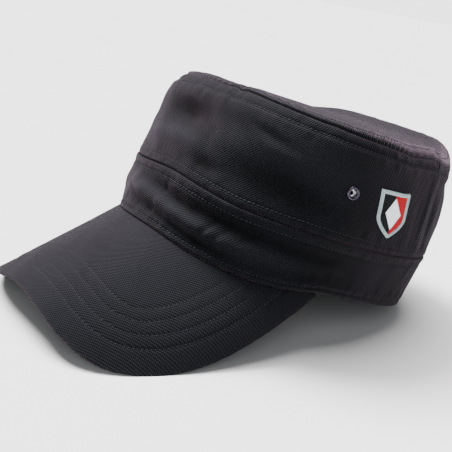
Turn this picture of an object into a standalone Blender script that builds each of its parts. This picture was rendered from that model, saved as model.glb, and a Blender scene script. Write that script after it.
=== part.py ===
"""Cloth field cap with a stiff curved peak, standing by itself on a flat surface.

Metres. The front faces -Y, the wearer's left is +X, and +Z is up. The cap is shaped level, with its
head opening around the origin, and then leaned back until it stands on its peak and its rear hem.
"""

import math

import bmesh
import bpy
from mathutils import Matrix, Vector

CAP_NAME = "field_cap"

# Head opening, measured from its centre
HEAD_HALF_WIDTH = 0.0872
HEAD_FRONT = 0.1007
HEAD_REAR = 0.0946

# Heights of the two walls, at the wearer's sides
BAND_HEIGHT = 0.0372
CROWN_HEIGHT = 0.0569

# Cloth thicknesses, and the line left open at each seam
BAND_THICKNESS = 0.0022
CROWN_THICKNESS = 0.0018
TOP_THICKNESS = 0.0018
SEAM_GAP = 0.0006
CLEARANCE = 0.0003

# Peak
PEAK_REACH = 0.0645
PEAK_THICKNESS = 0.0026
PEAK_SLOPE = math.radians(32.2)
PEAK_SIDE_STEEPENING = 0.24
PEAK_ARCH_HALF_WIDTH = 0.0870
PEAK_ARCH_DEPTH = 0.0824
PEAK_SEAM_HEIGHT = 0.0091
PEAK_END_ANGLE = 66.0
PEAK_OUTLINE_POWER = 2.91
PEAK_TUCK = 0.0005
PEAK_EDGE_ROUNDING = 0.0010

# Rear seams of the upper wall, each side, in degrees from the front
REAR_SEAM_ANGLE = 109.0

# Air eyelets, one each side of the upper wall
EYELET_ANGLE = 64.0
EYELET_LEVEL = 1.48
EYELET_RADIUS = 0.0043
EYELET_HOLE_RADIUS = 0.0025
EYELET_RIM_RADIUS = 0.0009
EYELET_WALL = 0.0005

# Shield patch on the wearer's left
PATCH_ANGLE = 85.0
PATCH_LEVEL = 1.395
PATCH_WIDTH = 0.0245
PATCH_HEIGHT = 0.0260
PATCH_TURN = math.radians(11.0)
PATCH_THICKNESS = 0.0010
PATCH_BORDER_WIDTH = 0.0020
PATCH_BORDER_THICKNESS = 0.0014

# How far the cap leans back when it stands, and how much its edges give where it stands
LEAN = math.radians(11.9)
PRESSED = 0.0006

# Mesh steps
CROWN_COLUMNS = 46
BACK_COLUMNS = 30
BAND_COLUMNS = 72
CROWN_ROWS = 11
BAND_ROWS = 7
PEAK_COLUMNS = 36
PEAK_ROWS = 8

# Outlines of the wall. level is 0 at the hem, 1 at the seam above the band and 2 at the top seam.
# width is a share of HEAD_HALF_WIDTH, front of HEAD_FRONT and rear of HEAD_REAR. A power of 2 gives
# an ellipse, and a higher one a squarer outline.
OUTLINES = (
    {"level": 0.00, "width": 1.000, "front": 1.000, "rear": 1.000, "front_power": 2.14, "rear_power": 2.24},
    {"level": 0.50, "width": 1.008, "front": 0.968, "rear": 1.034, "front_power": 2.28, "rear_power": 2.35},
    {"level": 1.00, "width": 1.010, "front": 0.936, "rear": 1.056, "front_power": 2.41, "rear_power": 2.45},
    {"level": 1.30, "width": 1.008, "front": 0.903, "rear": 1.066, "front_power": 2.38, "rear_power": 2.40},
    {"level": 1.60, "width": 0.998, "front": 0.872, "rear": 1.062, "front_power": 2.36, "rear_power": 2.32},
    {"level": 1.85, "width": 0.984, "front": 0.842, "rear": 1.056, "front_power": 2.34, "rear_power": 2.24},
    {"level": 2.00, "width": 0.954, "front": 0.770, "rear": 1.019, "front_power": 2.32, "rear_power": 2.18},
)

# Heights around the wall. hem and seam are shares of BAND_HEIGHT, top is a share of the two walls'
# heights together. The hem's share counts behind the peak's ends only.
HEIGHTS = (
    {"angle": 0, "hem": 0.150, "seam": 1.162, "top": 1.030},
    {"angle": 6, "hem": 0.150, "seam": 1.154, "top": 1.030},
    {"angle": 16, "hem": 0.150, "seam": 1.118, "top": 1.028},
    {"angle": 30, "hem": 0.150, "seam": 1.072, "top": 1.014},
    {"angle": 45, "hem": 0.150, "seam": 1.066, "top": 1.002},
    {"angle": 60, "hem": 0.150, "seam": 1.052, "top": 0.997},
    {"angle": 75, "hem": 0.138, "seam": 1.026, "top": 0.997},
    {"angle": 90, "hem": 0.115, "seam": 0.992, "top": 1.002},
    {"angle": 120, "hem": 0.045, "seam": 0.970, "top": 1.040},
    {"angle": 150, "hem": 0.010, "seam": 0.962, "top": 1.080},
    {"angle": 180, "hem": 0.000, "seam": 0.960, "top": 1.095},
)

# Folds and dents of the wall. Each is a soft ridge (or a dent, where its depth is negative) around a
# point. length and width are shares of BAND_HEIGHT, depth is a share of it too, and turn is the angle
# of its length to the wall's level line.
FOLDS = (
    {"angle": -8, "level": 0.52, "length": 0.50, "width": 0.15, "turn": -16, "depth": 0.050},
    {"angle": 10, "level": 0.43, "length": 0.70, "width": 0.17, "turn": 3, "depth": 0.065},
    {"angle": 31, "level": 0.44, "length": 0.60, "width": 0.16, "turn": 3, "depth": 0.050},
    {"angle": 16, "level": 0.73, "length": 0.75, "width": 0.13, "turn": -3, "depth": -0.055},
    {"angle": 20, "level": 0.22, "length": 1.10, "width": 0.12, "turn": -2, "depth": -0.045},
    {"angle": 31, "level": 0.64, "length": 0.28, "width": 0.08, "turn": 50, "depth": -0.035},
    {"angle": 58, "level": 0.30, "length": 0.80, "width": 0.15, "turn": 2, "depth": -0.030},
    {"angle": -6, "level": 1.67, "length": 0.90, "width": 0.30, "turn": -4, "depth": -0.055},
    {"angle": -11, "level": 1.33, "length": 0.80, "width": 0.26, "turn": 4, "depth": 0.045},
    {"angle": 28, "level": 1.71, "length": 0.75, "width": 0.15, "turn": -9, "depth": -0.036},
    {"angle": 39, "level": 1.43, "length": 0.75, "width": 0.24, "turn": -14, "depth": -0.034},
    {"angle": 116, "level": 1.45, "length": 0.80, "width": 0.10, "turn": 94, "depth": 0.045},
    {"angle": 103, "level": 1.35, "length": 0.75, "width": 0.09, "turn": 94, "depth": 0.028},
    {"angle": 128, "level": 1.78, "length": 0.45, "width": 0.12, "turn": 0, "depth": -0.050},
    {"angle": 150, "level": 1.45, "length": 0.90, "width": 0.35, "turn": -6, "depth": 0.040},
    {"angle": -45, "level": 1.55, "length": 0.90, "width": 0.28, "turn": 10, "depth": -0.040},
    {"angle": -40, "level": 0.50, "length": 0.80, "width": 0.18, "turn": -4, "depth": 0.045},
    {"angle": -116, "level": 1.45, "length": 0.80, "width": 0.10, "turn": 86, "depth": 0.040},
)

# Rings of the top panel, from its seam to the middle. inset is a share of HEAD_HALF_WIDTH, and rise a
# share of the rolled rim's height, which is ROLL_FRONT at the front and ROLL_REAR at the rear.
ROLL_FRONT = 0.0026
ROLL_REAR = 0.0056
TOP_RINGS = (
    {"inset": 0.000, "rise": 0.00},
    {"inset": 0.002, "rise": 0.36},
    {"inset": 0.018, "rise": 0.74},
    {"inset": 0.052, "rise": 0.98},
    {"inset": 0.100, "rise": 0.96},
    {"inset": 0.170, "rise": 0.72},
    {"inset": 0.360, "rise": 0.54},
    {"inset": 0.680, "rise": 0.50},
)

COLOURS = {
    "cloth": (0.030, 0.027, 0.033, 1.0),
    "eyelet": (0.090, 0.080, 0.100, 1.0),
    "border": (0.520, 0.560, 0.580, 1.0),
    "field": (0.560, 0.045, 0.060, 1.0),
}


def smooth(share):
    share = min(1.0, max(0.0, share))
    return share * share * (3.0 - 2.0 * share)


def read_table(rows, key, at, column):
    """Value of a table's column at a place between its rows, along a smooth curve through them."""
    places = [row[key] for row in rows]
    values = [row[column] for row in rows]
    last = len(rows) - 1
    at = min(max(at, places[0]), places[last])
    index = max(i for i in range(last) if places[i] <= at)
    span = places[index + 1] - places[index]
    share = (at - places[index]) / span

    def slope(i):
        low = max(i - 1, 0)
        high = min(i + 1, last)
        return (values[high] - values[low]) / (places[high] - places[low]) * span

    rise = values[index + 1] - values[index]
    start = slope(index)
    end = slope(index + 1)
    curve = share * share * (3.0 - 2.0 * share) * rise
    return values[index] + curve + share * (1.0 - share) * ((1.0 - share) * start - share * end)


def outline(angle, level):
    """Plan point of the wall at an angle in degrees from the front, towards the wearer's left."""
    turn = math.radians(angle)
    ahead = math.cos(turn) > 0.0
    side = "front" if ahead else "rear"
    width = HEAD_HALF_WIDTH * read_table(OUTLINES, "level", level, "width")
    reach = HEAD_FRONT if ahead else HEAD_REAR
    reach *= read_table(OUTLINES, "level", level, side)
    power = read_table(OUTLINES, "level", level, side + "_power")
    across = abs(math.sin(turn)) / width
    along = abs(math.cos(turn)) / reach
    radius = (across ** power + along ** power) ** (-1.0 / power)
    return radius * math.sin(turn), -radius * math.cos(turn)


def peak_height(x, y):
    """Height of the peak's upper face: a slope that steepens to the sides, less an elliptic arch."""
    share = min(abs(x) / PEAK_ARCH_HALF_WIDTH, 0.985)
    slope = math.tan(PEAK_SLOPE) + PEAK_SIDE_STEEPENING * share * share
    arch = PEAK_ARCH_DEPTH * (1.0 - math.sqrt(1.0 - share * share))
    return PEAK_SEAM_HEIGHT + slope * (y + HEAD_FRONT) - arch


def folded(angle):
    """The same place on the wearer's left, for tables that serve both sides."""
    return abs((angle + 180.0) % 360.0 - 180.0)


def hem_height(angle):
    side = folded(angle)
    if side > PEAK_END_ANGLE:
        x, y = outline(PEAK_END_ANGLE, 0.0)
        start = peak_height(x, y) + SEAM_GAP
        first = read_table(HEIGHTS, "angle", PEAK_END_ANGLE, "hem")
        share = read_table(HEIGHTS, "angle", side, "hem") / first
        return start * share
    x, y = outline(side, 0.0)
    return peak_height(x, y) + SEAM_GAP


def edge_height(angle, level):
    """Height of the wall at one of its three level lines: 0 the hem, 1 the seam, 2 the top seam."""
    if level == 0:
        return hem_height(angle)
    if level == 1:
        return BAND_HEIGHT * read_table(HEIGHTS, "angle", folded(angle), "seam")
    return (BAND_HEIGHT + CROWN_HEIGHT) * read_table(HEIGHTS, "angle", folded(angle), "top")


def plain_point(angle, level):
    """Point of the wall's outer face before its folds."""
    x, y = outline(angle, level)
    lower = 0 if level < 1.0 else 1
    low = edge_height(angle, lower)
    high = edge_height(angle, lower + 1)
    return Vector((x, y, low + (high - low) * (level - lower)))


def wall_normal(angle, level):
    step = 0.01
    across = plain_point(angle + 1.0, level) - plain_point(angle - 1.0, level)
    below = max(level - step, 0.0)
    above = min(level + step, 2.0)
    up = plain_point(angle, above) - plain_point(angle, below)
    return across.cross(up).normalized()


def fold_depth(angle, level):
    """How far the folds move the wall outwards here. They fade out at its three level lines."""
    total = 0.0
    wall = BAND_HEIGHT if level < 1.0 else CROWN_HEIGHT
    around = math.radians(1.0) * (HEAD_HALF_WIDTH + HEAD_FRONT) / 2.0
    for fold in FOLDS:
        if int(fold["level"]) != min(int(level), 1):
            continue
        along = ((angle - fold["angle"] + 180.0) % 360.0 - 180.0) * around
        rise = (level - fold["level"]) * wall
        turn = math.radians(fold["turn"])
        length = (along * math.cos(turn) + rise * math.sin(turn)) / (fold["length"] * BAND_HEIGHT)
        width = (rise * math.cos(turn) - along * math.sin(turn)) / (fold["width"] * BAND_HEIGHT)
        total += fold["depth"] * BAND_HEIGHT * math.exp(-length * length - width * width)
    from_line = min(level, abs(level - 1.0), 2.0 - level)
    return total * smooth(from_line / 0.15)


def wall_point(angle, level):
    return plain_point(angle, level) + wall_normal(angle, level) * fold_depth(angle, level)


def grid_faces(bm, rows, closed):
    """Quads over rows of vertices. A closed grid joins its last column to its first."""
    columns = len(rows[0])
    for low, high in zip(rows, rows[1:]):
        for i in range(columns if closed else columns - 1):
            j = (i + 1) % columns
            bm.faces.new((low[i], low[j], high[j], high[i]))


def material(name, colour, roughness, metallic=0.0):
    made = bpy.data.materials.new(name)
    made.use_nodes = True
    shader = made.node_tree.nodes["Principled BSDF"]
    shader.inputs["Base Color"].default_value = colour
    shader.inputs["Roughness"].default_value = roughness
    shader.inputs["Metallic"].default_value = metallic
    made.diffuse_color = colour
    return made


def add_object(name, bm, collection, surface, angle=None):
    """Make an object from a mesh. An angle shades it smooth, with sharp edges past that angle."""
    mesh = bpy.data.meshes.new(name)
    bm.to_mesh(mesh)
    bm.free()
    if angle is not None:
        mesh.shade_smooth()
        mesh.set_sharp_from_angle(angle=math.radians(angle))
    made = bpy.data.objects.new(name, mesh)
    collection.objects.link(made)
    if surface is not None:
        mesh.materials.append(surface)
    return made


def solidify(made, thickness, offset=-1.0):
    shell = made.modifiers.new("thickness", "SOLIDIFY")
    shell.thickness = thickness
    shell.offset = offset
    return shell


def cut(made, cutter, operation="DIFFERENCE"):
    boolean = made.modifiers.new(cutter.name, "BOOLEAN")
    boolean.operation = operation
    boolean.solver = "EXACT"
    boolean.object = cutter
    return boolean


def wall_strip(name, levels, angles, closed, thickness, collection, surface):
    """A strip of the wall between level lines, as an open surface given its thickness inwards."""
    bm = bmesh.new()
    rows = []
    for level, shift in levels:
        row = [wall_point(angle, level) for angle in angles]
        for point in row:
            point.z += shift
        rows.append([bm.verts.new(point) for point in row])
    grid_faces(bm, rows, closed)
    made = add_object(name, bm, collection, surface, angle=50)
    solidify(made, thickness)
    return made


def strip_levels(bottom, top, count, low_shift, high_shift):
    """Level lines of a strip with the shifts that leave its seams open, fading over one row."""
    levels = []
    for i in range(count + 1):
        shift = low_shift if i == 0 else high_shift if i == count else 0.0
        levels.append((bottom + (top - bottom) * i / count, shift))
    return levels


def spread(start, end, count):
    return [start + (end - start) * i / count for i in range(count + 1)]


def make_band(collection, surface):
    angles = [360.0 * i / BAND_COLUMNS for i in range(BAND_COLUMNS)]
    levels = strip_levels(0.0, 1.0, BAND_ROWS, 0.0, -SEAM_GAP / 2.0)
    return wall_strip("band", levels, angles, True, BAND_THICKNESS, collection, surface)


def make_crown(collection, surface):
    """The upper wall in two cloths that meet at the rear seams."""
    half_gap = math.degrees(SEAM_GAP / 2.0 / HEAD_HALF_WIDTH)
    seam = REAR_SEAM_ANGLE
    levels = strip_levels(1.0, 2.0, CROWN_ROWS, SEAM_GAP / 2.0, 0.0)
    front = spread(-seam + half_gap, seam - half_gap, CROWN_COLUMNS)
    rear = spread(seam + half_gap, 360.0 - seam - half_gap, BACK_COLUMNS)
    wall = wall_strip("crown_wall", levels, front, False, CROWN_THICKNESS, collection, surface)
    back = wall_strip("back_panel", levels, rear, False, CROWN_THICKNESS, collection, surface)
    return wall, back


def roll_height(angle):
    share = (1.0 - math.cos(math.radians(angle))) / 2.0
    return ROLL_FRONT + (ROLL_REAR - ROLL_FRONT) * smooth(2.0 * share)


def make_top(collection, surface):
    """Rings from the seam to the middle, drawn in towards the top's centre line."""
    bm = bmesh.new()
    angles = [360.0 * i / BAND_COLUMNS for i in range(BAND_COLUMNS)]
    middle_y = (outline(0.0, 2.0)[1] + outline(180.0, 2.0)[1]) / 2.0
    rows = []
    for ring in TOP_RINGS:
        row = []
        for angle in angles:
            x, y = outline(angle, 2.0)
            share = 1.0 - ring["inset"]
            base = edge_height(angle, 2) + SEAM_GAP
            level = edge_height(90.0, 2) + SEAM_GAP
            tilt = (edge_height(180.0, 2) - edge_height(0.0, 2)) / (outline(180.0, 2.0)[1] - outline(0.0, 2.0)[1])
            plane = level + tilt * (y * share + middle_y * (1.0 - share))
            fade = smooth(ring["inset"] / 0.5)
            height = base * (1.0 - fade) + plane * fade + roll_height(angle) * ring["rise"]
            point = Vector((x * share, middle_y + (y - middle_y) * share, height))
            row.append(bm.verts.new(point))
        rows.append(row)
    grid_faces(bm, rows, True)
    centre = sum((vert.co for vert in rows[-1]), Vector()) / len(rows[-1])
    hub = bm.verts.new(centre)
    for i, vert in enumerate(rows[-1]):
        bm.faces.new((vert, rows[-1][(i + 1) % len(angles)], hub))
    made = add_object("top_panel", bm, collection, surface, angle=50)
    solidify(made, TOP_THICKNESS)
    return made


def peak_seam(share):
    """Plan point of the peak's rear edge, from -1 at one end to 1 at the other."""
    angle = PEAK_END_ANGLE * share
    x, y = outline(angle, 0.0)
    tuck = PEAK_TUCK * (1.0 - share * share)
    length = math.hypot(x, y)
    return x * (1.0 - tuck / length), y * (1.0 - tuck / length)


def peak_edge(share):
    """Plan point of the peak's free edge, a superellipse between the two ends."""
    end_x, end_y = outline(PEAK_END_ANGLE, 0.0)
    forward = HEAD_FRONT + end_y + PEAK_REACH
    turn = math.pi / 2.0 * share
    power = 2.0 / PEAK_OUTLINE_POWER
    across = math.copysign(abs(math.sin(turn)) ** power, share)
    along = max(math.cos(turn), 0.0) ** power
    return end_x * across, end_y - forward * along


def make_peak(collection, surface):
    """A loft from the seam with the band to the free edge, over the arched height."""
    bm = bmesh.new()
    blunt = 0.985
    shares = [blunt * math.sin(math.pi / 2.0 * t) for t in spread(-1.0, 1.0, PEAK_COLUMNS)]
    rows = []
    for out in spread(0.0, 1.0, PEAK_ROWS):
        row = []
        for share in shares:
            seam_x, seam_y = peak_seam(share)
            edge_x, edge_y = peak_edge(share)
            x = seam_x + (edge_x - seam_x) * out
            y = seam_y + (edge_y - seam_y) * out
            row.append(bm.verts.new((x, y, peak_height(x, y))))
        rows.append(row)
    rows.reverse()
    grid_faces(bm, rows, False)
    made = add_object("peak", bm, collection, surface, angle=50)
    solidify(made, PEAK_THICKNESS)
    rounding = made.modifiers.new("edge rounding", "BEVEL")
    rounding.width = PEAK_EDGE_ROUNDING
    rounding.segments = 1
    rounding.limit_method = "ANGLE"
    rounding.angle_limit = math.radians(60)
    return made


def wall_frame(angle, level):
    """Placement on the wall: local X runs around it to the wearer's rear left, Y up it and Z out."""
    point = wall_point(angle, level)
    out = wall_normal(angle, level)
    up = (Vector((0.0, 0.0, 1.0)) - out * out.z).normalized()
    across = up.cross(out)
    return Matrix.Translation(point) @ Matrix((across, up, out)).transposed().to_4x4()


def disc_cutter(name, placement, radius, depth, collection):
    bm = bmesh.new()
    bmesh.ops.create_cone(
        bm, cap_ends=True, segments=24, radius1=radius, radius2=radius, depth=depth, matrix=placement
    )
    cutter = add_object(name, bm, collection, None)
    cutter.hide_render = True
    cutter.display_type = "WIRE"
    return cutter


def make_eyelet(name, side, wall, collection, cutters, surface):
    """A turned metal ring: a flat flange with a rounded rim on the cloth, and a barrel through it."""
    placement = wall_frame(side * EYELET_ANGLE, EYELET_LEVEL)
    barrel = EYELET_HOLE_RADIUS + EYELET_WALL
    hole = disc_cutter(name + "_hole", placement, barrel + CLEARANCE, CROWN_THICKNESS * 8.0, cutters)
    cut(wall, hole)
    low = CLEARANCE + 0.0001
    inner = -CROWN_THICKNESS - CLEARANCE
    rise = EYELET_RIM_RADIUS
    profile = [(EYELET_RADIUS, low)]
    for i in range(1, 5):
        turn = math.pi * i / 5.0
        reach = (EYELET_RADIUS - EYELET_HOLE_RADIUS) / 2.0
        radius = EYELET_HOLE_RADIUS + reach + reach * math.cos(turn)
        profile.append((radius, low + rise * math.sin(turn)))
    profile += [(EYELET_HOLE_RADIUS, inner), (barrel, inner), (barrel, low)]
    bm = bmesh.new()
    steps = 24
    rings = []
    for radius, height in profile:
        ring = []
        for i in range(steps):
            turn = 2.0 * math.pi * i / steps
            ring.append(bm.verts.new((radius * math.cos(turn), radius * math.sin(turn), height)))
        rings.append(ring)
    grid_faces(bm, rings + [rings[0]], True)
    bmesh.ops.transform(bm, matrix=placement, verts=bm.verts)
    return add_object(name, bm, collection, surface, angle=40)


def shield_outline(width, height):
    """A shield: a level top, straight sides to its shoulders and two shallow arcs down to a point."""
    half = width / 2.0
    shoulder = -0.08 * height
    drop = height / 2.0 + shoulder
    right = [(half, height / 2.0), (half, shoulder / 2.0 + height / 4.0), (half, shoulder)]
    for i in range(1, 6):
        share = i / 6.0
        right.append((half * (1.0 - share ** 1.7), shoulder - drop * share))
    left = [(-x, y) for x, y in reversed(right)]
    return right + [(0.0, -height / 2.0)] + left + [(0.0, height / 2.0)]


def bend_to_wall(bm):
    """Lay flat geometry on the wall: its X and Y follow the wall, its Z stands off it."""
    centre = wall_frame(PATCH_ANGLE, PATCH_LEVEL)
    here = centre.translation
    step = 4.0
    arc = (wall_point(PATCH_ANGLE + step, PATCH_LEVEL) - here).length
    height = (wall_point(PATCH_ANGLE, PATCH_LEVEL + 0.1) - here).length
    turn = Matrix.Rotation(PATCH_TURN, 2)
    for vert in bm.verts:
        flat = turn @ vert.co.xy
        angle = PATCH_ANGLE + flat.x / arc * step
        level = PATCH_LEVEL + flat.y / height * 0.1
        vert.co = wall_point(angle, level) + wall_normal(angle, level) * vert.co.z


def shield_solid(name, inner, outer, thickness, rise, collection, surface):
    """A shield plate, or a shield ring where an inner outline is given, bent to the wall."""
    bm = bmesh.new()
    loops = [outer] if inner is None else [outer, inner]
    rings = [[bm.verts.new((x, y, rise)) for x, y in loop] for loop in loops]
    if inner is None:
        centre = bm.verts.new((0.0, 0.0, rise))
        ring = rings[0]
        for i, vert in enumerate(ring):
            bm.faces.new((ring[(i + 1) % len(ring)], vert, centre))
        bmesh.ops.subdivide_edges(bm, edges=bm.edges[:], cuts=2, use_grid_fill=True)
    else:
        grid_faces(bm, rings, True)
    bmesh.ops.recalc_face_normals(bm, faces=bm.faces[:])
    if sum(face.normal.z for face in bm.faces) < 0.0:
        bmesh.ops.reverse_faces(bm, faces=bm.faces[:])
    bend_to_wall(bm)
    made = add_object(name, bm, collection, surface, angle=40)
    solidify(made, thickness, offset=1.0)
    return made


def make_patch(collection, field, border):
    """The shield field with a raised border ring around it, both laid on the wall."""
    outer = shield_outline(PATCH_WIDTH, PATCH_HEIGHT)
    rim = 2.0 * PATCH_BORDER_WIDTH
    inner = shield_outline(PATCH_WIDTH - rim, PATCH_HEIGHT - rim)
    gap = 2.0 * CLEARANCE
    plate = shield_outline(PATCH_WIDTH - rim - gap, PATCH_HEIGHT - rim - gap)
    rise = CLEARANCE
    parts = [shield_solid("patch_field", None, plate, PATCH_THICKNESS, rise, collection, field)]
    parts.append(shield_solid("patch_border", inner, outer, PATCH_BORDER_THICKNESS, rise, collection, border))
    return parts


def stand_up():
    """Turn from the level cap to the standing one: leaned back, its lowest edges pressed in."""
    lean = Matrix.Rotation(-LEAN, 4, "X")
    rear_x, rear_y = outline(180.0, 0.0)
    rear = lean @ Vector((rear_x, rear_y, hem_height(180.0)))
    front_y = (lean @ Vector((0.0, -HEAD_FRONT - PEAK_REACH, 0.0))).y
    top_y = (lean @ Vector((0.0, outline(180.0, 1.3)[1], BAND_HEIGHT + 0.3 * CROWN_HEIGHT))).y
    shift = Vector((0.0, -(front_y + top_y) / 2.0, -rear.z - PRESSED))
    return Matrix.Translation(shift) @ lean


def make_floor_cutter(collection):
    """Everything below the surface that the cap stands on."""
    bm = bmesh.new()
    size = 4.0 * HEAD_FRONT
    depth = HEAD_FRONT
    bmesh.ops.create_cube(bm, size=1.0)
    bmesh.ops.scale(bm, vec=(2.0 * size, 2.0 * size, depth), verts=bm.verts)
    bmesh.ops.translate(bm, vec=(0.0, 0.0, -depth / 2.0), verts=bm.verts)
    cutter = add_object("standing_surface", bm, collection, None)
    cutter.hide_render = True
    cutter.display_type = "WIRE"
    return cutter


def main():
    for old in list(bpy.data.objects):
        bpy.data.objects.remove(old, do_unlink=True)
    parts = bpy.data.collections.new(CAP_NAME)
    cutters = bpy.data.collections.new("cutters")
    bpy.context.scene.collection.children.link(parts)
    bpy.context.scene.collection.children.link(cutters)

    cloth = {}
    for name in ("band", "crown_wall", "back_panel", "top_panel", "peak"):
        cloth[name] = material(name + "_cloth", COLOURS["cloth"], 0.9)
    band = make_band(parts, cloth["band"])
    wall, back = make_crown(parts, cloth["crown_wall"])
    back.data.materials[0] = cloth["back_panel"]
    top = make_top(parts, cloth["top_panel"])
    peak = make_peak(parts, cloth["peak"])
    eyelets = []
    for name, side in (("eyelet_left", 1.0), ("eyelet_right", -1.0)):
        metal = material(name + "_metal", COLOURS["eyelet"], 0.35, 1.0)
        eyelets.append(make_eyelet(name, side, wall, parts, cutters, metal))
    field = material("patch_field_thread", COLOURS["field"], 0.7)
    border = material("patch_border_thread", COLOURS["border"], 0.7)
    patch = make_patch(parts, field, border)

    stand = bpy.data.objects.new("stand", None)
    parts.objects.link(stand)
    stand.matrix_world = stand_up()
    holes = [made for made in cutters.objects]
    for made in [band, wall, back, top, peak] + eyelets + patch + holes:
        made.parent = stand
    floor = make_floor_cutter(cutters)
    cut(band, floor)
    cut(peak, floor)
    bpy.context.view_layer.update()


main()
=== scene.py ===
"""Dressed cloth field cap: canvas walls, rolled top, stitched peak, air eyelets and a shield patch.

Metres. The cap is shaped level, with its front at -Y, the wearer's left at +X and its head opening
around the origin. set_down() then leans every piece back to where the cap stands.
"""

import math

import bpy
import numpy as np
from mathutils import Matrix, Vector


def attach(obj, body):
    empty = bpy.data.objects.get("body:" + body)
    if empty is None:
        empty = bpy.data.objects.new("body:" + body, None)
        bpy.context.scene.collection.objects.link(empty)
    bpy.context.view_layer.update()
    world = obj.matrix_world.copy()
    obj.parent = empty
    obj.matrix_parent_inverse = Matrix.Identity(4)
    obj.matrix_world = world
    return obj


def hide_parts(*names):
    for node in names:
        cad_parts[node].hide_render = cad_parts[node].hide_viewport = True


def table(columns, *rows):
    """Rows of numbers, each with the names of its columns."""
    return tuple(dict(zip(columns.split(), row)) for row in rows)


# Head opening, wall heights and cloth thicknesses
HEAD_HALF_WIDTH = 0.0872
HEAD_FRONT = 0.1007
HEAD_REAR = 0.0946
BAND_HEIGHT = 0.0372
CROWN_HEIGHT = 0.0569
BAND_THICKNESS = 0.0020
CROWN_THICKNESS = 0.0016
SEAM_GAP = 0.0006
CROWN_TUCK = 0.0010
TOP_GAP = 0.0001
TOP_LIP = 0.0010
TOP_LIP_DROP = 0.0042
TOP_FULLNESS = 0.0024

# Peak
PEAK_REACH = 0.0645
PEAK_THICKNESS = 0.0026
PEAK_SLOPE = math.radians(32.2)
PEAK_SIDE_STEEPENING = 0.24
PEAK_ARCH_HALF_WIDTH = 0.0870
PEAK_ARCH_DEPTH = 0.0824
PEAK_ARCH_LIMIT = 0.985
PEAK_SEAM_HEIGHT = 0.0091
PEAK_END_ANGLE = 66.0
PEAK_OUTLINE_POWER = 2.91
PEAK_SIDE_SHARE = 0.985
PEAK_TUCK = 0.0005
PEAK_LIP = 0.0030
PEAK_EDGE_ROUNDING = 0.0010

# Where the cap leans back and how much its edges give
LEAN = math.radians(11.9)
PRESSED = 0.0006
CLEARANCE = 0.00005

REAR_SEAM_ANGLE = 109.0
FOLD_FADE = 0.13

# Air eyelets
EYELET_ANGLE = 64.0
EYELET_LEVEL = 1.48
EYELET_RADIUS = 0.0037
EYELET_THROAT_RADIUS = 0.0010
EYELET_ROLL_RADIUS = 0.0008
EYELET_SEAT = 0.0003
EYELET_DISH = 0.0017
EYELET_OPENING = 0.0029

# Shield patch
PATCH_ANGLE = 85.0
PATCH_LEVEL = 1.395
PATCH_WIDTH = 0.0245
PATCH_HEIGHT = 0.0260
PATCH_TURN = math.radians(11.0)
PATCH_SLANT = 0.13
PATCH_BORDER_WIDTH = 0.0020
LOZENGE_HALF_HEIGHT = 0.0088
LOZENGE_HALF_WIDTH = 0.0068
LOZENGE_RISE = 0.0008
SATIN_PITCH = 0.00034
SATIN_RADIUS = 0.00021
SATIN_ARCH = 0.00018
FIELD_LIFT = 0.0008
LOZENGE_LIFT = 0.0012
FIELD_SEAM = 0.00015
WRAP_PITCH = 0.00040
WRAP_RADIUS = 0.00025
WRAP_LIFT = 0.0004
WRAP_ARCH = 0.0013
GROUND_INSET = 0.0006
GROUND_LIFT = 0.0002
GROUND_THICKNESS = 0.0006

# Sewing: how far each stitch row lies from its seam or edge
TOP_ROW = 0.0032
CROWN_TOP_ROW = 0.0054
CROWN_LOWER_ROW = 0.0046
BAND_UPPER_ROW = 0.0052
HEM_ROW = 0.0034
PEAK_ROWS = (0.0130, 0.0200, 0.0270, 0.0340)
STITCH_PITCH = 0.0025
STITCH_LENGTH = 0.0018
THREAD_RADIUS = 0.00027
THREAD_SIDES = 6
PEAK_STITCH_PITCH = 0.0022
PEAK_STITCH_LENGTH = 0.0015
PEAK_THREAD_RADIUS = 0.00019
REAR_ROW_TURN = 1.9
TOP_GROOVE_DEPTH = 0.00055
TOP_GROOVE_WIDTH = 0.0007
PEAK_GROOVE_DEPTH = 0.00038
PEAK_GROOVE_WIDTH = 0.0008

# How closely the meshes are divided
WALL_STEP = 0.0011
RING_STEP = 0.75
FRONT_COLUMNS = 300
REAR_COLUMNS = 190
PEAK_COLUMNS = 170
PEAK_LINES = 110
EDGE_STEPS = (0.0, 0.00015, 0.0003, 0.0005, 0.0008, 0.0011, 0.0015, 0.0019, 0.0024, 0.0029, 0.0034, 0.0038,
              0.0042, 0.0046, 0.0050, 0.0054, 0.0058, 0.0063, 0.0069, 0.0076, 0.0085)

# Outlines of the wall. level is 0 at the hem, 1 at the seam above the band and 2 at the top seam.
# width is a share of HEAD_HALF_WIDTH, front of HEAD_FRONT and rear of HEAD_REAR.
OUTLINES = table(
    "level width front rear front_power rear_power",
    (0.00, 1.000, 1.000, 1.000, 2.14, 2.24),
    (0.50, 1.008, 0.968, 1.034, 2.28, 2.35),
    (1.00, 1.010, 0.936, 1.056, 2.41, 2.45),
    (1.30, 1.008, 0.903, 1.066, 2.38, 2.40),
    (1.60, 0.998, 0.872, 1.062, 2.36, 2.32),
    (1.85, 0.984, 0.842, 1.056, 2.34, 2.29),
    (2.00, 0.954, 0.770, 1.024, 2.32, 2.29),
)

# Heights around the wall. hem and seam are shares of BAND_HEIGHT, top is a share of both walls' height.
HEIGHTS = table(
    "angle hem seam top",
    (0, 0.150, 1.162, 1.034),
    (6, 0.150, 1.154, 1.036),
    (16, 0.150, 1.118, 1.038),
    (30, 0.150, 1.072, 1.026),
    (45, 0.150, 1.066, 1.013),
    (60, 0.150, 1.052, 1.005),
    (75, 0.138, 1.026, 1.001),
    (90, 0.115, 0.992, 1.002),
    (120, 0.045, 0.970, 1.056),
    (150, 0.010, 0.962, 1.106),
    (180, 0.000, 0.960, 1.118),
)

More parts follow.
